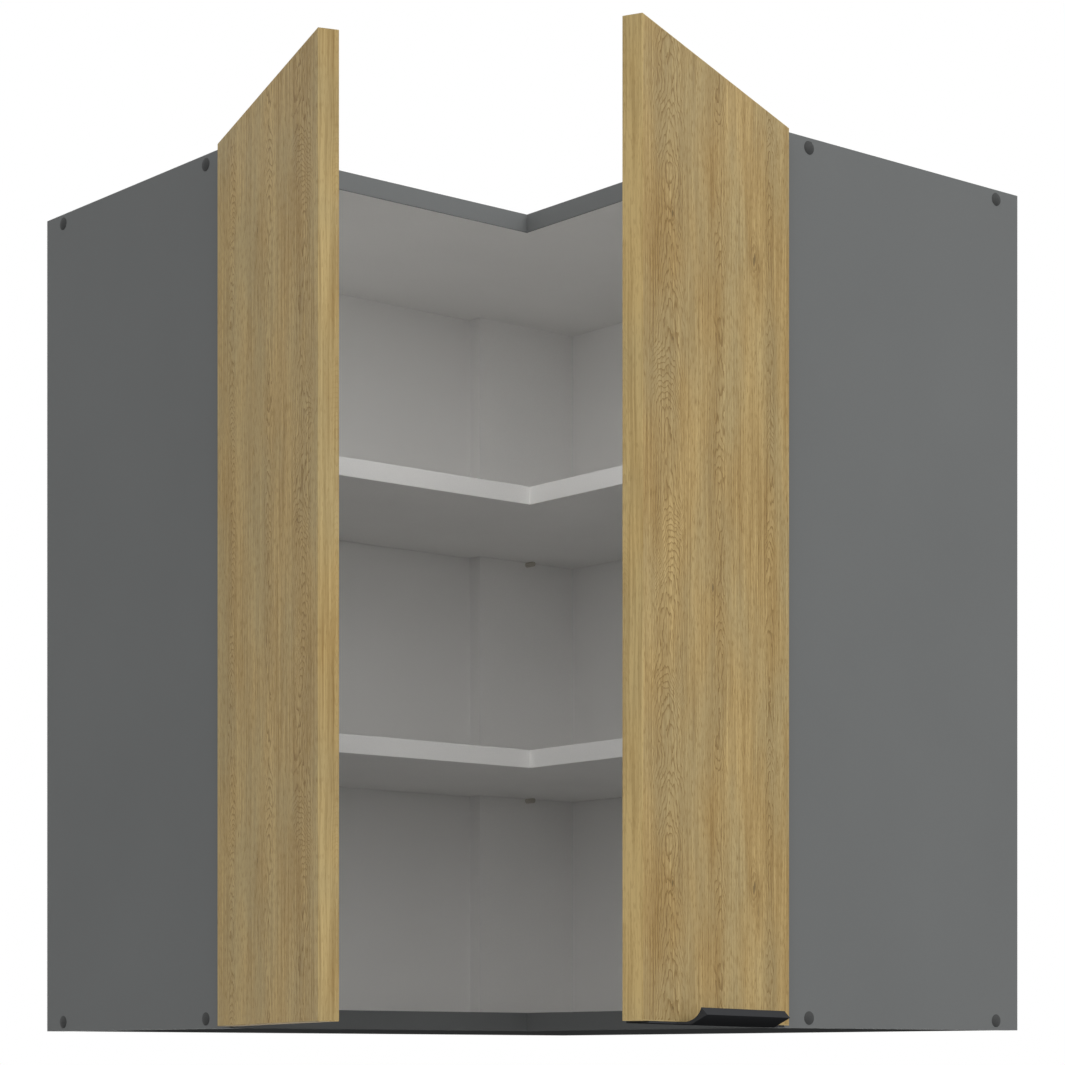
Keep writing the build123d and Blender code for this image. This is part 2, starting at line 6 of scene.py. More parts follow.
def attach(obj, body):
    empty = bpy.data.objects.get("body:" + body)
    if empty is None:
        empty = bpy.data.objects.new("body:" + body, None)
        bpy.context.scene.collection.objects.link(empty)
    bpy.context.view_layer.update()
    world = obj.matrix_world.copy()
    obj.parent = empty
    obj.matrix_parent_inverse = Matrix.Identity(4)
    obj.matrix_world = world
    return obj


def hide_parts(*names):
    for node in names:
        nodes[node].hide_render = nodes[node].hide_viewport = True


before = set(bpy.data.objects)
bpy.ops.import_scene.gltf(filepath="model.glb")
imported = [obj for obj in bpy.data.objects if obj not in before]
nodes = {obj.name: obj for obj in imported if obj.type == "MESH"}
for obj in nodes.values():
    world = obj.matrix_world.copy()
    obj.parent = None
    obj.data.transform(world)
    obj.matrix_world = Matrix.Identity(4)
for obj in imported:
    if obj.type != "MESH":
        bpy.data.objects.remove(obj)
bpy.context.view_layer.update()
scene = bpy.context.scene

# The photograph's view: a long lens level with the underside, so that all uprights stay upright,
# and the frame shifted up by half its height.
camera_place = Vector((-1.9658, -2.3106, -0.0302))
camera_heading = Vector((0.6399, 0.7685, 0.0))
bpy.ops.object.camera_add(location=camera_place)
camera = bpy.context.object
camera.rotation_euler = camera_heading.to_track_quat("-Z", "Y").to_euler()
camera.data.sensor_width = 36.0
camera.data.lens = 101.33
camera.data.shift_y = 0.5005
scene.camera = camera
scene.view_settings.view_transform = "Standard"


# Studio: a white room that gives most of the light, a lamp square to the right leg's side, a broad
# weak one from the camera's side and a dim one behind the cabinet.
def linear(code):
    """An sRGB hex colour as the linear values that a socket takes."""
    parts = [int(code[i:i + 2], 16) / 255 for i in (1, 3, 5)]
    lit = [c / 12.92 if c <= 0.04045 else ((c + 0.055) / 1.055) ** 2.4 for c in parts]
    return lit + [1.0]


def add(tree, kind, settings=None, links=None):
    """Adds a node, sets its sockets and properties, and links its inputs."""
    node = tree.nodes.new(kind)
    for key, value in (settings or {}).items():
        if isinstance(key, int) or key in node.inputs:
            node.inputs[key].default_value = value
        else:
            setattr(node, key, value)
    for key, source in (links or {}).items():
        tree.links.new(source, node.inputs[key])
    return node


world = bpy.data.worlds.new("studio")
world.use_nodes = True
scene.world = world
sky = world.node_tree
sky.nodes.clear()
backdrop = add(sky, "ShaderNodeBackground", {"Color": linear("#FFFFFF"), "Strength": 1.0})
add(sky, "ShaderNodeOutputWorld", links={"Surface": backdrop.outputs[0]})

aim = Vector((-0.3, -0.3, 0.36))       # the cabinet's middle
for name, spot, size, power in (("key_lamp", (0.9, -7.0, 3.6), 2.5, 165.0),
                                ("front_lamp", (-5.4, -6.4, 1.8), 5.0, 118.0),
                                ("rear_lamp", (5.0, 5.0, 3.0), 4.0, 90.0)):
    bpy.ops.object.light_add(type="AREA", location=spot)
    lamp = bpy.context.object
    lamp.name = name
    lamp.data.size = size
    lamp.data.energy = power
    lamp.rotation_euler = (aim - Vector(spot)).to_track_quat("-Z", "Y").to_euler()

# Floor: plain and pale, as far below as a wall cabinet hangs, out of the main view. It throws
# little light back, as the dark underside shows.
floor_size, floor_z = 400.0, -1.4
floor_lit = "#626262"        # what the cabinet gets back from it
floor_shown = "#F4F4F2"      # what the camera and the gloss see of it
floor_glow = 0.3
bpy.ops.mesh.primitive_plane_add(size=floor_size, location=(0, 0, floor_z))
floor = bpy.context.object
floor.name = "floor"
painted_floor = bpy.data.materials.new("painted_floor")
painted_floor.use_nodes = True
tree = painted_floor.node_tree
tree.nodes.clear()
path = add(tree, "ShaderNodeLightPath")
shown = add(tree, "ShaderNodeMath", {"operation": "MAXIMUM"},
            {0: path.outputs["Is Camera Ray"], 1: path.outputs["Is Glossy Ray"]})
shown = add(tree, "ShaderNodeMath", {"operation": "MAXIMUM"},
            {0: shown.outputs[0], 1: path.outputs["Is Transmission Ray"]})
paint = add(tree, "ShaderNodeMix", {"data_type": "RGBA", 6: linear(floor_lit),
                                    7: linear(floor_shown)}, {0: shown.outputs[0]})
glow = add(tree, "ShaderNodeMath", {"operation": "MULTIPLY", 1: floor_glow},
           {0: shown.outputs[0]})
surface = add(tree, "ShaderNodeBsdfPrincipled",
              {"Roughness": 1.0, "Specular IOR Level": 0.0, "Emission Color": linear("#FFFFFF")},
              {"Base Color": paint.outputs[2], "Emission Strength": glow.outputs[0]})
add(tree, "ShaderNodeOutputMaterial", links={"Surface": surface.outputs[0]})
floor.data.materials.append(painted_floor)


# Side panels, top and bottom: 16 mm chipboard pressed between melamine papers, graphite on the
# faces that show from outside and near white inside. The sawn rear edges show the chips. The
# pressing plate leaves fine pearl pits, which break up the sheen.
X, Y, Z = 0, 1, 2
graphite = "#6D6F6F"
pale = "#F5F4F2"
chips_light = "#CDB089"
chips_dark = "#8F6E47"
chip_length = 0.0024
pearl_pitch = 0.0009         # the pits are 0.4 mm apart, drawn coarser so that they show
pearl_depth = 0.0003
clouds_per_metre = 7.0       # the paper's faint unevenness
leg, board, height = 0.6, 0.016, 0.716
skin = 0.0003                # a side's paper shows within this depth of its face


def new_material(name):
    """A material with an empty tree, and its Texture Coordinate node."""
    material = bpy.data.materials.new(name)
    material.use_nodes = True
    material.node_tree.nodes.clear()
    return material, material.node_tree, add(material.node_tree, "ShaderNodeTexCoord")


def board_material(name, skins, gloss=0.05):
    """Chipboard with a paper skin on each side that a rule (axis, limit, sign, colour) names."""
    material, tree, place = new_material(name)
    spot = place.outputs["Object"]
    xyz = add(tree, "ShaderNodeSeparateXYZ", links={0: spot})
    chips = add(tree, "ShaderNodeTexVoronoi", {"Scale": 1 / chip_length}, {"Vector": spot})
    chip_tone = add(tree, "ShaderNodeSeparateColor", links={0: chips.outputs["Color"]})
    colour = add(tree, "ShaderNodeMix", {"data_type": "RGBA", 6: linear(chips_dark),
                                         7: linear(chips_light)}, {0: chip_tone.outputs[0]})
    cloud = add(tree, "ShaderNodeTexNoise", {"Scale": clouds_per_metre, "Detail": 3.0},
                {"Vector": spot})
    pearl = add(tree, "ShaderNodeTexNoise", {"Scale": 1 / pearl_pitch, "Detail": 2.0},
                {"Vector": spot})
    tone = add(tree, "ShaderNodeMath", {"operation": "ADD"},
               {0: cloud.outputs[0], 1: pearl.outputs[0]})
    tone = add(tree, "ShaderNodeMapRange", {"From Min": 0.6, "From Max": 1.4, "To Min": 0.96,
                                            "To Max": 1.04}, {"Value": tone.outputs[0]})
    covered = None
    for axis, limit, sign, code in skins:
        side = add(tree, "ShaderNodeMath",
                   {"operation": "GREATER_THAN" if sign > 0 else "LESS_THAN", 1: limit},
                   {0: xyz.outputs[axis]})
        paper = add(tree, "ShaderNodeVectorMath", {"operation": "SCALE", 0: linear(code)[:3]},
                    {"Scale": tone.outputs[0]})
        colour = add(tree, "ShaderNodeMix", {"data_type": "RGBA"},
                     {0: side.outputs[0], 6: colour.outputs[2], 7: paper.outputs[0]})
        if covered:
            side = add(tree, "ShaderNodeMath", {"operation": "MAXIMUM"},
                       {0: covered.outputs[0], 1: side.outputs[0]})
        covered = side
    rough = add(tree, "ShaderNodeMapRange", {"From Min": 0.3, "From Max": 0.7, "To Min": 0.5,
                                             "To Max": 0.62}, {"Value": pearl.outputs[0]})
    rough = add(tree, "ShaderNodeMix", {2: 0.9}, {0: covered.outputs[0], 3: rough.outputs[0]})
    relief = add(tree, "ShaderNodeMix", links={0: covered.outputs[0], 2: chip_tone.outputs[0],
                                               3: pearl.outputs[0]})
    bump = add(tree, "ShaderNodeBump", {"Strength": 0.12, "Distance": pearl_depth},
               {"Height": relief.outputs[0]})
    surface = add(tree, "ShaderNodeBsdfPrincipled", {"IOR": 1.5, "Specular IOR Level": gloss},
                  {"Base Color": colour.outputs[2], "Roughness": rough.outputs[0],
                   "Normal": bump.outputs[0]})
    add(tree, "ShaderNodeOutputMaterial", links={"Surface": surface.outputs[0]})
    return material


def dress(material, *names):
    """Puts a material on CAD nodes."""
    for name in names:
        for place in nodes[name].material_slots:
            place.material = material


ends = [(Z, skin, -1, graphite), (Z, height - skin, 1, graphite)]
dress(board_material("melamine_left_side", [
    (X, -leg + board - skin, 1, pale), (X, -leg + skin, -1, graphite)] + ends), "left_side_panel")
dress(board_material("melamine_right_side", [
    (Y, -leg + board - skin, 1, pale), (Y, -leg + skin, -1, graphite)] + ends), "right_side_panel")
dress(board_material("melamine_top", [
    (Z, height - board + skin, -1, pale), (Z, height - skin, 1, graphite)]), "top_board")
dress(board_material("melamine_bottom", [
    (Z, board - skin, 1, pale), (Z, skin, -1, graphite)], gloss=0.0), "bottom_board")

# Edge bands of the carcass: 0.8 mm graphite plastic strip, glued on the front edges of the sides,
# top and bottom and milled round.
everywhere = (Z, -1.0, 1)
dress(board_material("plastic_edge_band_graphite", [(*everywhere, graphite)]),
      "left_side_edging", "right_side_edging", "bottom_edging", "top_edging")

# Shelves and corner board: the same chipboard with near white paper on both faces. The shelves
# lie loose on pins with a near white band in front, the corner board stands on dowels.
dress(board_material("melamine_pale", [(*everywhere, pale)]), "lower_shelf", "upper_shelf",
      "lower_shelf_edging", "upper_shelf_edging", "corner_stiffener")


# Backs: 3 mm hardboard, lacquered near white on its smooth front and raw brown behind, with the
# print of the wire screen that it was pressed on. They slide into the side panels' grooves.
fibre_light = "#A1805A"
fibre_dark = "#7C5E40"
fibres_per_metre, blotches_per_metre = 420.0, 9.0
screen_pitch, screen_depth = 0.0022, 0.0003
back_front = -0.013          # from the wall
for name, axis in (("left_back_panel", Y), ("right_back_panel", X)):
    material, tree, place = new_material("hardboard_" + name)
    spot = place.outputs["Object"]
    xyz = add(tree, "ShaderNodeSeparateXYZ", links={0: spot})
    fibres = add(tree, "ShaderNodeTexNoise",
                 {"Scale": fibres_per_metre, "Detail": 4.0, "Distortion": 1.5}, {"Vector": spot})
    blotches = add(tree, "ShaderNodeTexNoise", {"Scale": blotches_per_metre, "Detail": 3.0},
                   {"Vector": spot})
    tone = add(tree, "ShaderNodeMath", {"operation": "MULTIPLY_ADD", 1: 1.6},
               {0: fibres.outputs[0], 2: blotches.outputs[0]})
    tone = add(tree, "ShaderNodeMapRange", {"From Min": 0.9, "From Max": 1.7},
               {"Value": tone.outputs[0]})
    raw = add(tree, "ShaderNodeMix", {"data_type": "RGBA", 6: linear(fibre_dark),
                                      7: linear(fibre_light)}, {0: tone.outputs[0]})
    front = add(tree, "ShaderNodeMath", {"operation": "LESS_THAN", 1: back_front + skin},
                {0: xyz.outputs[axis]})
    colour = add(tree, "ShaderNodeMix", {"data_type": "RGBA", 7: linear(pale)},
                 {0: front.outputs[0], 6: raw.outputs[2]})
    wires = []
    for run in (1 - axis, Z):
        turn = add(tree, "ShaderNodeMath",
                   {"operation": "MULTIPLY", 1: 2 * math.pi / screen_pitch},
                   {0: xyz.outputs[run]})
        wires.append(add(tree, "ShaderNodeMath", {"operation": "SINE"}, {0: turn.outputs[0]}))
    screen = add(tree, "ShaderNodeMath", {"operation": "MULTIPLY"},
                 {0: wires[0].outputs[0], 1: wires[1].outputs[0]})
    relief = add(tree, "ShaderNodeMix", links={0: front.outputs[0], 2: screen.outputs[0],
                                               3: blotches.outputs[0]})
    bump = add(tree, "ShaderNodeBump", {"Strength": 0.25, "Distance": screen_depth},
               {"Height": relief.outputs[0]})
    rough = add(tree, "ShaderNodeMapRange", {"From Min": 0.3, "From Max": 0.7, "To Min": 0.5,
                                             "To Max": 0.7}, {"Value": fibres.outputs[0]})
    surface = add(tree, "ShaderNodeBsdfPrincipled", {"IOR": 1.5, "Specular IOR Level": 0.05},
                  {"Base Color": colour.outputs[2], "Roughness": rough.outputs[0],
                   "Normal": bump.outputs[0]})
    add(tree, "ShaderNodeOutputMaterial", links={"Surface": surface.outputs[0]})
    dress(material, name)


# Carcass screws, nails and small screws: steel, zinc plated after forming. The bath leaves a fine
# frost, so the gloss is soft and slightly blue.
stains_per_metre = 60.0
frost_depth = 0.00005


def metal(name, code, roughness, grain):
    """A plated metal whose gloss is broken by a grain of that pitch in metres."""
    material, tree, place = new_material(name)
    frost = add(tree, "ShaderNodeTexNoise", {"Scale": 1 / grain, "Detail": 3.0},
                {"Vector": place.outputs["Object"]})
    stain = add(tree, "ShaderNodeTexNoise", {"Scale": stains_per_metre, "Detail": 2.0},
                {"Vector": place.outputs["Object"]})
    shade = add(tree, "ShaderNodeMapRange", {"From Min": 0.3, "From Max": 0.7, "To Min": 0.93,
                                             "To Max": 1.03}, {"Value": stain.outputs[0]})
    colour = add(tree, "ShaderNodeVectorMath", {"operation": "SCALE", 0: linear(code)[:3]},
                 {"Scale": shade.outputs[0]})
    rough = add(tree, "ShaderNodeMapRange",
                {"From Min": 0.3, "From Max": 0.7, "To Min": roughness - 0.03,
                 "To Max": roughness + 0.04}, {"Value": frost.outputs[0]})
    bump = add(tree, "ShaderNodeBump", {"Strength": 0.05, "Distance": frost_depth},
               {"Height": frost.outputs[0]})
    surface = add(tree, "ShaderNodeBsdfPrincipled", {"Metallic": 1.0},
                  {"Base Color": colour.outputs[0], "Roughness": rough.outputs[0],
                   "Normal": bump.outputs[0]})
    add(tree, "ShaderNodeOutputMaterial", links={"Surface": surface.outputs[0]})
    return material


zinc_steel = metal("zinc_plated_steel", "#B4B9BD", roughness=0.36, grain=0.0008)
dress(zinc_steel, "carcass_screws", "left_back_nails", "right_back_nails")


# Screw caps: round covers moulded in dark grey plastic, a low dome with a peg that snaps into the
# socket of the carcass screw. Moulding leaves them satin with a faint orange peel.
peel_depth = 0.0002
cap_radius, cap_rim, cap_crown, cap_rings = 0.00545, 0.0002, 0.0015, 8
cap_sides, cap_crease = 64, 50
rim_round, rim_steps = 0.0001, 3
peg_radius, peg_length = 0.0019, 0.002
cap_setbacks = (0.0273, 0.252)         # the carcass screws' places, from the wall


def moulded(name, code, roughness, peel, gloss=0.5, transmission=0.0):
    """Plastic, or an oxide that hides its metal, whose gloss is broken by a peel or an etching
    of that pitch in metres."""
    material, tree, place = new_material(name)
    texture = add(tree, "ShaderNodeTexNoise", {"Scale": 1 / peel, "Detail": 2.0},
                  {"Vector": place.outputs["Object"]})
    tone = add(tree, "ShaderNodeMapRange", {"From Min": 0.3, "From Max": 0.7, "To Min": 0.94,
                                            "To Max": 1.06}, {"Value": texture.outputs[0]})
    colour = add(tree, "ShaderNodeVectorMath", {"operation": "SCALE", 0: linear(code)[:3]},
                 {"Scale": tone.outputs[0]})
    rough = add(tree, "ShaderNodeMapRange",
                {"From Min": 0.3, "From Max": 0.7, "To Min": roughness - 0.05,
                 "To Max": roughness + 0.07}, {"Value": texture.outputs[0]})
    bump = add(tree, "ShaderNodeBump", {"Strength": 0.08, "Distance": peel_depth},
               {"Height": texture.outputs[0]})
    surface = add(tree, "ShaderNodeBsdfPrincipled",
                  {"IOR": 1.5, "Specular IOR Level": gloss, "Transmission Weight": transmission},
                  {"Base Color": colour.outputs[0], "Roughness": rough.outputs[0],
                   "Normal": bump.outputs[0]})
    add(tree, "ShaderNodeOutputMaterial", links={"Surface": surface.outputs[0]})
    return material


def only(piece):
    """Makes one piece the only one selected, and active."""
    bpy.ops.object.select_all(action="DESELECT")
    piece.select_set(True)
    bpy.context.view_layer.objects.active = piece


def pick(piece, rule):
    """In edit mode, selects the faces whose centre and normal pass a rule, and nothing else."""
    bpy.ops.mesh.select_all(action="DESELECT")
    bpy.ops.mesh.select_mode(type="FACE")
    bpy.ops.object.mode_set(mode="OBJECT")
    for face in piece.data.polygons:
        face.select = rule(face.center, face.normal)
    bpy.ops.object.mode_set(mode="EDIT")


def smooth(piece, degrees):
    """Smooth shading with creases kept above an angle."""
    only(piece)
    bpy.ops.object.shade_smooth_by_angle(angle=math.radians(degrees))


def settle(name, body, material, node, parts):
    """Joins placed parts into one piece at the origin, ties it to its body and hides the CAD node
    that it stands in for.
    """
    bpy.ops.object.select_all(action="DESELECT")
    for part in parts:
        part.select_set(True)
    bpy.context.view_layer.objects.active = parts[0]
    if len(parts) > 1:
        bpy.ops.object.join()
    piece = bpy.context.object
    bpy.ops.object.transform_apply(location=True, rotation=True, scale=True)
    piece.name = name
    piece.data.materials.clear()
    piece.data.materials.append(material)
    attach(piece, body)
    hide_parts(node)


def copy_to(part, matrix):
    """A copy of a part with its own mesh, at a place."""
    twin = part.copy()
    twin.data = part.data.copy()
    scene.collection.objects.link(twin)
    twin.matrix_world = matrix
    return twin


bpy.ops.object.select_all(action="DESELECT")
bpy.ops.mesh.primitive_cylinder_add(vertices=cap_sides, radius=cap_radius, depth=cap_rim,
                                    location=(0, 0, cap_rim / 2))
cap = bpy.context.object
bpy.ops.object.transform_apply(location=True)
bpy.ops.object.mode_set(mode="EDIT")
pick(cap, lambda centre, normal: normal.z > 0.9)
for ring in range(1, cap_rings):
    outer, inner = 1 - (ring - 1) / cap_rings, 1 - ring / cap_rings
    bpy.ops.mesh.inset(thickness=cap_radius / cap_rings)
    bpy.ops.transform.translate(value=(0, 0, cap_crown * (outer ** 2 - inner ** 2)))
pick(cap, lambda centre, normal: normal.z < -0.9)
bpy.ops.mesh.inset(thickness=cap_radius - peg_radius)
bpy.ops.mesh.extrude_region_move(TRANSFORM_OT_translate={"value": (0, 0, -peg_length)})
bpy.ops.object.mode_set(mode="OBJECT")
rim = cap.modifiers.new("rim", "BEVEL")
rim.width = rim_round
rim.segments = rim_steps
rim.limit_method = "ANGLE"
rim.angle_limit = math.radians(cap_crease)
only(cap)
bpy.ops.object.modifier_apply(modifier="rim")
smooth(cap, cap_crease)
cap_plastic = moulded("polypropylene_dark_grey", "#464747", roughness=0.5, peel=0.0012, gloss=0.05)
outwards_left = Matrix.Rotation(math.radians(-90), 4, "Y")
outwards_right = Matrix.Rotation(math.radians(90), 4, "X")
caps = []
for v in cap_setbacks:
    for z in (board / 2, height - board / 2):
        caps.append(copy_to(cap, Matrix.Translation((-leg, -v, z)) @ outwards_left))
        caps.append(copy_to(cap, Matrix.Translation((-v, -leg, z)) @ outwards_right))
bpy.data.objects.remove(cap)
settle("screw_covers", "cabinet", cap_plastic, "screw_caps", caps)


# Dowels: beech pins in the ends of the corner board, glued, out of sight. Turned beech is pale
# and shows short flecks along the grain.
beech_light = "#D9B587"
beech_dark = "#B98D5F"
flecks_per_metre = (900.0, 900.0, 40.0)
beech, tree, place = new_material("beech")
grain = add(tree, "ShaderNodeMapping", {"Scale": flecks_per_metre}, {0: place.outputs["Object"]})
flecks = add(tree, "ShaderNodeTexNoise", {"Scale": 1.0, "Detail": 3.0},
             {"Vector": grain.outputs[0]})
colour = add(tree, "ShaderNodeMix", {"data_type": "RGBA", 6: linear(beech_dark),
                                     7: linear(beech_light)}, {0: flecks.outputs[0]})
bump = add(tree, "ShaderNodeBump", {"Strength": 0.2, "Distance": 0.0002},
           {"Height": flecks.outputs[0]})
rough = add(tree, "ShaderNodeMapRange", {"To Min": 0.5, "To Max": 0.75},
            {"Value": flecks.outputs[0]})
surface = add(tree, "ShaderNodeBsdfPrincipled", {"IOR": 1.5},
              {"Base Color": colour.outputs[2], "Normal": bump.outputs[0],
               "Roughness": rough.outputs[0]})
add(tree, "ShaderNodeOutputMaterial", links={"Surface": surface.outputs[0]})
dress(beech, "stiffener_dowels")


# Doors: 16 mm chipboard with oak decor paper on the front and all round on the plastic edge band,
# near white inside. The paper's print repeats up the door; the press gives it fine pores that
# follow the print. Broad bands, fine streaks, flames where the plank's heart lies, and knots.
oak_light = "#C5AB75"
oak_dark = "#86693B"
oak_grey = "#A99F7B"
oak_line = "#7A5E33"
oak_knot = "#54452F"
decor_length = 0.4845        # the print repeats after this length up the door
door_low, door_high, band = 0.0015, 0.7145, 0.0008
end_skin = band * 0.9        # within this depth of its ends the door's bands lie across
drift = 0.005                # how far the grain wanders to each side
drift_waves = (14.0, 0.5, 0.5)         # across the grain per metre, and along it per print
heart_waves = (9.0, 0.8, 0.8)
band_share = 0.45            # how much the broad bands count against the fine streaks
darkest, lightest = 0.43, 0.97         # the mixed tone there is the dark and the light oak
flame_line = 0.0062          # a flame's growth rings, across the grain
flame_opening = 1.6          # how fast a flame's arches open to its sides
flame_inner, flame_outer = 0.6, 1.3    # the flame fades between these shares of its half width
flame_ink, board_pits, band_pits, pit_relief = 0.7, 0.55, 0.2, -0.8
flame_ripple, knot_ripple = 2.2, 2.6   # rings by which the fine ripple moves a line


def oak_material(name, hinge, turn, back, flames, knots, seed, shade):
    """Oak decor in a door's own frame: x from the hinge to the free edge, z up.

    A flame is (x, half width, arches in a print, wander in arches, seed),
    a knot is (x, z, half width, half height).
    """
    material, tree, place = new_material(name)
    own = add(tree, "ShaderNodeMapping",
              {"vector_type": "TEXTURE", "Location": (*hinge, 0.0),
               "Rotation": (0.0, 0.0, math.radians(turn))}, {0: place.outputs["Object"]})
    xyz = add(tree, "ShaderNodeSeparateXYZ", links={0: own.outputs[0]})
    thick = add(tree, "ShaderNodeMath", {"operation": "ABSOLUTE"}, {0: xyz.outputs[Y]})
    across = add(tree, "ShaderNodeMath", {"operation": "ADD"},
                 {0: xyz.outputs[X], 1: thick.outputs[0]})
    up = add(tree, "ShaderNodeMath", {"operation": "SUBTRACT", 1: (door_low + door_high) / 2},
             {0: xyz.outputs[Z]})
    up = add(tree, "ShaderNodeMath", {"operation": "ABSOLUTE"}, {0: up.outputs[0]})
    lying = add(tree, "ShaderNodeMath",
                {"operation": "GREATER_THAN", 1: (door_high - door_low) / 2 - end_skin},
                {0: up.outputs[0]})
    across = add(tree, "ShaderNodeMix", links={0: lying.outputs[0], 2: across.outputs[0],
                                               3: thick.outputs[0]})
    along = add(tree, "ShaderNodeMix", links={0: lying.outputs[0], 2: xyz.outputs[Z],
                                              3: xyz.outputs[X]})
    lap = add(tree, "ShaderNodeMath", {"operation": "MULTIPLY", 1: 2 * math.pi / decor_length},
              {0: along.outputs[0]})
    lap_cos = add(tree, "ShaderNodeMath", {"operation": "COSINE"}, {0: lap.outputs[0]})
    lap_sin = add(tree, "ShaderNodeMath", {"operation": "SINE"}, {0: lap.outputs[0]})
    print_place = add(tree, "ShaderNodeCombineXYZ",
                      links={0: across.outputs[0], 1: lap_cos.outputs[0], 2: lap_sin.outputs[0]})
    start = (seed, seed * 0.7, seed * 1.3)
    wander_place = add(tree, "ShaderNodeVectorMath",
                       {"operation": "MULTIPLY_ADD", 1: drift_waves, 2: start},
                       {0: print_place.outputs[0]})
    aside = add(tree, "ShaderNodeTexNoise", {"Scale": 1.0, "Detail": 2.0},
                {"Vector": wander_place.outputs[0]})
    aside = add(tree, "ShaderNodeMapRange", {"To Min": -drift, "To Max": drift},
                {"Value": aside.outputs[0]})
    across = add(tree, "ShaderNodeMath", {"operation": "ADD"},
                 {0: across.outputs[0], 1: aside.outputs[0]})
    print_place = add(tree, "ShaderNodeCombineXYZ",
                      links={0: across.outputs[0], 1: lap_cos.outputs[0], 2: lap_sin.outputs[0]})
    tone = {}
    for key, fine, long, detail in (("bands", 30.0, 0.35, 2.0), ("hue", 17.0, 0.6, 2.0),
                                    ("streaks", 600.0, 0.8, 3.0), ("pores", 1100.0, 12.0, 1.0),
                                    ("ripple", 130.0, 4.5, 2.0)):
        stretched = add(tree, "ShaderNodeVectorMath",
                        {"operation": "MULTIPLY_ADD", 1: (fine, long, long), 2: start},
                        {0: print_place.outputs[0]})
        tone[key] = add(tree, "ShaderNodeTexNoise", {"Scale": 1.0, "Detail": detail},
                        {"Vector": stretched.outputs[0]}).outputs[0]
    mixed = add(tree, "ShaderNodeMath", {"operation": "MULTIPLY_ADD", 1: band_share},
                {0: tone["bands"], 2: tone["streaks"]})
    mixed = add(tree, "ShaderNodeMapRange",
                {"From Min": darkest - shade, "From Max": lightest - shade},
                {"Value": mixed.outputs[0]})
    colour = add(tree, "ShaderNodeMix", {"data_type": "RGBA", 6: linear(oak_dark),
                                         7: linear(oak_light)}, {0: mixed.outputs[0]})
    greyer = add(tree, "ShaderNodeMapRange", {"From Min": 0.4, "From Max": 0.65, "To Max": 0.34},
                 {"Value": tone["hue"]})
    colour = add(tree, "ShaderNodeMix", {"data_type": "RGBA", 7: linear(oak_grey)},
                 {0: greyer.outputs[0], 6: colour.outputs[2]})
    dark = None
    for centre, half, arches, wander, flame_seed in flames:
        off = add(tree, "ShaderNodeMath", {"operation": "SUBTRACT", 1: centre},
                  {0: across.outputs[0]})
        off = add(tree, "ShaderNodeMath", {"operation": "ABSOLUTE"}, {0: off.outputs[0]})
        heart = add(tree, "ShaderNodeVectorMath",
                    {"operation": "MULTIPLY_ADD", 1: heart_waves, 2: (flame_seed,) * 3},
                    {0: print_place.outputs[0]})
        heart = add(tree, "ShaderNodeTexNoise", {"Scale": 1.0, "Detail": 1.0},
                    {"Vector": heart.outputs[0]})
        heart = add(tree, "ShaderNodeMapRange",
                    {"From Min": 0.3, "From Max": 0.7, "To Min": -wander, "To Max": wander},
                    {"Value": heart.outputs[0]})
        rings = add(tree, "ShaderNodeMath",
                    {"operation": "MULTIPLY_ADD", 1: arches / decor_length},
                    {0: along.outputs[0], 2: heart.outputs[0]})
        bowl = add(tree, "ShaderNodeMath", {"operation": "DIVIDE", 1: half}, {0: off.outputs[0]})
        bowl = add(tree, "ShaderNodeMath", {"operation": "POWER", 1: flame_opening},
                   {0: bowl.outputs[0]})
        rings = add(tree, "ShaderNodeMath", {"operation": "MULTIPLY_ADD", 1: half / flame_line},
                    {0: bowl.outputs[0], 2: rings.outputs[0]})
        rings = add(tree, "ShaderNodeMath", {"operation": "MULTIPLY_ADD", 1: flame_ripple},
                    {0: tone["ripple"], 2: rings.outputs[0]})
        rings = add(tree, "ShaderNodeMath", {"operation": "FRACT"}, {0: rings.outputs[0]})
        rings = add(tree, "ShaderNodeMapRange", {"interpolation_type": "SMOOTHSTEP",
                                                 "From Min": 0.6, "From Max": 1.0},
                    {"Value": rings.outputs[0]})
        near = add(tree, "ShaderNodeMapRange",
                   {"interpolation_type": "SMOOTHSTEP", "From Min": half * flame_outer,
                    "From Max": half * flame_inner}, {"Value": off.outputs[0]})
        rings = add(tree, "ShaderNodeMath", {"operation": "MULTIPLY"},
                    {0: rings.outputs[0], 1: near.outputs[0]})
        if dark:
            rings = add(tree, "ShaderNodeMath", {"operation": "MAXIMUM"},
                        {0: dark.outputs[0], 1: rings.outputs[0]})
        dark = rings
    lines = add(tree, "ShaderNodeMath", {"operation": "MULTIPLY", 1: flame_ink},
                {0: dark.outputs[0]})
    colour = add(tree, "ShaderNodeMix", {"data_type": "RGBA", 7: linear(oak_line)},
                 {0: lines.outputs[0], 6: colour.outputs[2]})
    pits = add(tree, "ShaderNodeMapRange", {"From Min": 0.54, "From Max": 0.68,
                                            "To Max": board_pits if back else band_pits},
               {"Value": tone["pores"]})
    colour = add(tree, "ShaderNodeMix", {"data_type": "RGBA", 7: linear(oak_line)},
                 {0: pits.outputs[0], 6: colour.outputs[2]})
    for x, z, half, tall in knots:
        off = add(tree, "ShaderNodeMath", {"operation": "SUBTRACT", 1: x}, {0: across.outputs[0]})
        off = add(tree, "ShaderNodeMath", {"operation": "DIVIDE", 1: half}, {0: off.outputs[0]})
        rise = add(tree, "ShaderNodeMath", {"operation": "SUBTRACT", 1: z}, {0: along.outputs[0]})
        rise = add(tree, "ShaderNodeMath", {"operation": "MULTIPLY", 1: math.pi / decor_length},
                   {0: rise.outputs[0]})
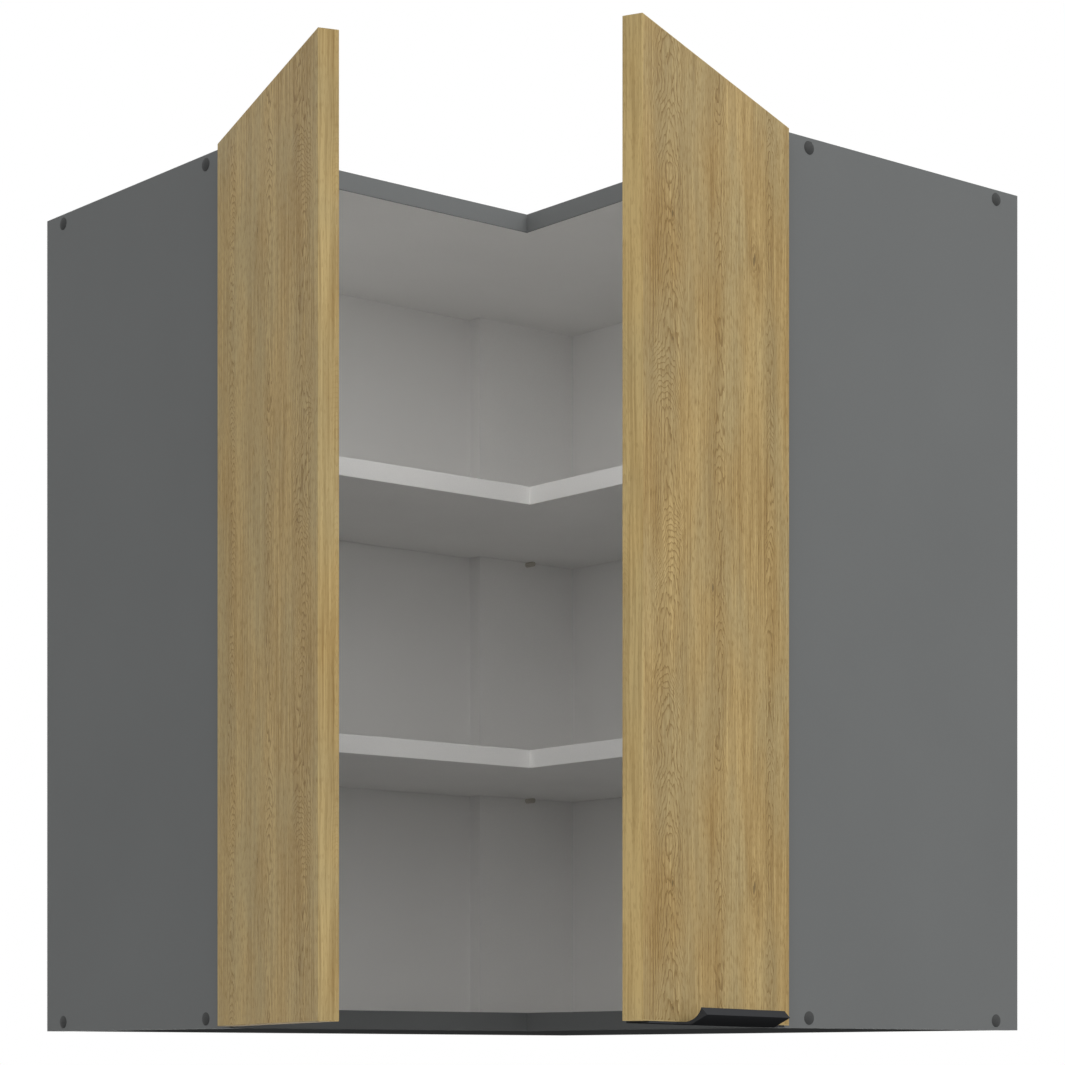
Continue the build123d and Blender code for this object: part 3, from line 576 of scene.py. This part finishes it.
        rise = add(tree, "ShaderNodeMath", {"operation": "SINE"}, {0: rise.outputs[0]})
        rise = add(tree, "ShaderNodeMath",
                   {"operation": "MULTIPLY", 1: decor_length / math.pi / tall},
                   {0: rise.outputs[0]})
        reach = add(tree, "ShaderNodeCombineXYZ", links={0: off.outputs[0], 1: rise.outputs[0]})
        reach = add(tree, "ShaderNodeVectorMath", {"operation": "LENGTH"}, {0: reach.outputs[0]})
        reach = add(tree, "ShaderNodeMath", {"operation": "MULTIPLY_ADD", 1: knot_ripple},
                    {0: tone["ripple"], 2: reach.outputs["Value"]})
        halo = add(tree, "ShaderNodeMath", {"operation": "FRACT"}, {0: reach.outputs[0]})
        fade = add(tree, "ShaderNodeMapRange", {"interpolation_type": "SMOOTHSTEP",
                                                "From Min": 5.5, "From Max": 2.5, "To Max": 0.55},
                   {"Value": reach.outputs[0]})
        halo = add(tree, "ShaderNodeMath", {"operation": "MULTIPLY"},
                   {0: halo.outputs[0], 1: fade.outputs[0]})
        colour = add(tree, "ShaderNodeMix", {"data_type": "RGBA", 7: linear(oak_line)},
                     {0: halo.outputs[0], 6: colour.outputs[2]})
        stain = add(tree, "ShaderNodeMapRange", {"interpolation_type": "SMOOTHSTEP",
                                                 "From Min": 2.2, "From Max": 1.3, "To Max": 0.7},
                    {"Value": reach.outputs[0]})
        colour = add(tree, "ShaderNodeMix", {"data_type": "RGBA", 7: linear(oak_knot)},
                     {0: stain.outputs[0], 6: colour.outputs[2]})
    rough = add(tree, "ShaderNodeMapRange", {"From Min": 0.3, "From Max": 0.75, "To Min": 0.46,
                                             "To Max": 0.62}, {"Value": tone["pores"]})
    relief = add(tree, "ShaderNodeMath", {"operation": "MULTIPLY_ADD", 1: pit_relief},
                 {0: pits.outputs[0], 2: tone["streaks"]})
    bump = add(tree, "ShaderNodeBump", {"Strength": 0.2, "Distance": 0.0003},
               {"Height": relief.outputs[0]})
    if back:
        inside = add(tree, "ShaderNodeMath",
                     {"operation": "GREATER_THAN" if back > 0 else "LESS_THAN", 1: back},
                     {0: xyz.outputs[Y]})
        colour = add(tree, "ShaderNodeMix", {"data_type": "RGBA", 7: linear(pale)},
                     {0: inside.outputs[0], 6: colour.outputs[2]})
    surface = add(tree, "ShaderNodeBsdfPrincipled", {"IOR": 1.5, "Specular IOR Level": 0.05},
                  {"Base Color": colour.outputs[2], "Roughness": rough.outputs[0],
                   "Normal": bump.outputs[0]})
    add(tree, "ShaderNodeOutputMaterial", links={"Surface": surface.outputs[0]})
    return material


left_flames = [(0.060, 0.012, 60, 4.0, 3.7), (0.171, 0.013, 16, 4.0, 8.1),
               (0.262, 0.026, 40, 6.0, 5.3)]
left_knots = [(0.140, 0.612, 0.0010, 0.003), (0.140, 0.560, 0.0010, 0.004),
              (0.171, 0.480, 0.0022, 0.006), (0.250, 0.370, 0.0022, 0.004),
              (0.040, 0.330, 0.0012, 0.002)]
right_flames = [(0.258, 0.030, 42, 6.0, 2.2), (0.160, 0.012, 10, 4.0, 6.4),
                (0.056, 0.010, 26, 4.0, 9.5)]
right_knots = [(0.250, 0.586, 0.0016, 0.003), (0.0877, 0.592, 0.0040, 0.006),
               (0.080, 0.575, 0.0016, 0.009), (0.040, 0.690, 0.0016, 0.003),
               (0.250, 0.496, 0.0012, 0.002), (0.174, 0.326, 0.0022, 0.004)]
left_hinge, left_turn = (-0.5985, -0.2918), -109.5
right_hinge, right_turn = (-0.2918, -0.5985), 204.5
inner_face = 0.0015          # a door's back lies beyond this distance from its hinge's axis
dress(oak_material("oak_decor_left_board", left_hinge, left_turn, inner_face, left_flames,
                   left_knots, seed=3.1, shade=0.06), "left_door")
dress(oak_material("oak_decor_left_band", left_hinge, left_turn, 0, left_flames, left_knots,
                   seed=3.1, shade=0.0), "left_door_edging")
dress(oak_material("oak_decor_right_board", right_hinge, right_turn, -inner_face, right_flames,
                   right_knots, seed=7.9, shade=0.0), "right_door")
dress(oak_material("oak_decor_right_band", right_hinge, right_turn, 0, right_flames,
                   right_knots, seed=21.3, shade=0.18), "right_door_edging")


# Hinge cups: a bowl drawn from steel sheet with a flange and two screwed ears, sunk into the back
# of the door and nickel plated. Drawing rounds every edge, and the plating is bright with a faint
# grain. Each has its pin across the bowl.
nickel_steel = metal("nickel_plated_steel", "#CFCAC2", roughness=0.27, grain=0.0006)
weld, flat = 0.000002, 1     # points this near are one, faces within this many degrees are one
edge_steps, crease = 3, 40
sheet_edge, pin_edge = 0.0003, 0.0002


def rounded(name, node, body, material, radius):
    """A copy of a CAD node with its facets joined and its edges rounded over."""
    piece = nodes[node].copy()
    piece.data = nodes[node].data.copy()
    for key in [key for key in piece.keys() if key.startswith("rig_")]:
        del piece[key]
    scene.collection.objects.link(piece)
    only(piece)
    bpy.ops.object.mode_set(mode="EDIT")
    bpy.ops.mesh.select_all(action="SELECT")
    bpy.ops.mesh.remove_doubles(threshold=weld)
    bpy.ops.mesh.dissolve_limited(angle_limit=math.radians(flat))
    bpy.ops.object.mode_set(mode="OBJECT")
    edge = piece.modifiers.new("edge", "BEVEL")
    edge.width = radius
    edge.segments = edge_steps
    edge.limit_method = "ANGLE"
    edge.angle_limit = math.radians(crease)
    bpy.ops.object.modifier_apply(modifier="edge")
    smooth(piece, crease)
    settle(name, body, material, node, [piece])


for side in ("left", "right"):
    rounded(side + "_drawn_cups", side + "_hinge_cups", side + "_door",
            nickel_steel, sheet_edge)
    rounded(side + "_bowl_pins", side + "_cup_pins", side + "_door",
            nickel_steel, pin_edge)

# Hinge links: bars of plated steel on the arms' pins. They turn as the door does, and lie across
# the mouth of the bowl when it is shut.
for side in ("left", "right"):
    rounded(side + "_swing_links", side + "_hinge_links", side + "_links",
            nickel_steel, sheet_edge)

# Hinge arms and plates: a channel bent from plated sheet, clipped over the die-cast plate that is
# screwed to the side panel, with the pin of the link riveted through its cheeks.
for side in ("left", "right"):
    rounded(side + "_bent_arms", side + "_hinge_arms", "cabinet",
            nickel_steel, sheet_edge)
    rounded(side + "_riveted_pins", side + "_arm_pins", "cabinet",
            nickel_steel, pin_edge)
    rounded(side + "_cast_plates", side + "_hinge_plates", "cabinet",
            nickel_steel, radius=0.0004)

# Small screws: pressed heads with a cross recess, zinc plated, in the cups, arms, plates, hangers
# and the pull. Their rims are rounded by the plating.
screw_edge = 0.00015
for side in ("left", "right"):
    for name, node, body in (("_ear_screws", "_cup_screws", side + "_door"),
                             ("_depth_screws", "_arm_screws", "cabinet"),
                             ("_panel_screws", "_plate_screws", "cabinet"),
                             ("_fixing_screws", "_hanger_screws", "cabinet")):
        rounded(side + name, side + node, body, zinc_steel, screw_edge)
rounded("pull_screws", "right_door_pull_screws", "right_door", zinc_steel,
        screw_edge)

# Hangers: a box moulded in white nylon in each upper rear corner, with a bent steel hook that goes
# out through the back to the wall rail, and two screws that adjust it.
hanger_plastic = moulded("nylon_white", "#E2E0DA", roughness=0.45, peel=0.0015)
for side in ("left", "right"):
    rounded(side + "_moulded_hanger", side + "_hanger_body", "cabinet",
            hanger_plastic, radius=0.0006)
    rounded(side + "_bent_hook", side + "_hanger_hook", "cabinet",
            zinc_steel, radius=0.0004)
    rounded(side + "_adjusting_screws", side + "_hanger_adjusters", "cabinet",
            zinc_steel, screw_edge)

# Shelf pins: turned steel pegs with rounded ends, nickel plated, flat on top where the shelf lies.
# Each shelf has two in each side panel and one in the corner board.
rounded("turned_pins", "shelf_pins", "cabinet", nickel_steel, radius=0.0003)

# Bumpers: clear soft plastic drops, glued on the door's back near its free edge, two on the left
# door and one on the right.
bumper_plastic = moulded("polyurethane_clear", "#F2F2EE", roughness=0.15, peel=0.002,
                         transmission=0.9)
bumper_edge = 0.0003
rounded("left_drops", "left_door_bumpers", "left_door", bumper_plastic,
        bumper_edge)
rounded("right_drop", "right_door_bumper", "right_door", bumper_plastic,
        bumper_edge)

# Pull: an extruded aluminium angle under the right door with a curved lip, black anodised. The
# dyed oxide hides the metal, so the eye sees a dark even satin with a fine etched grain.
anodised = moulded("aluminium_black_anodised", "#3B3C3E", roughness=0.45, peel=0.0008, gloss=0.0)
rounded("edge_pull", "right_door_pull", "right_door", anodised, radius=0.0004)
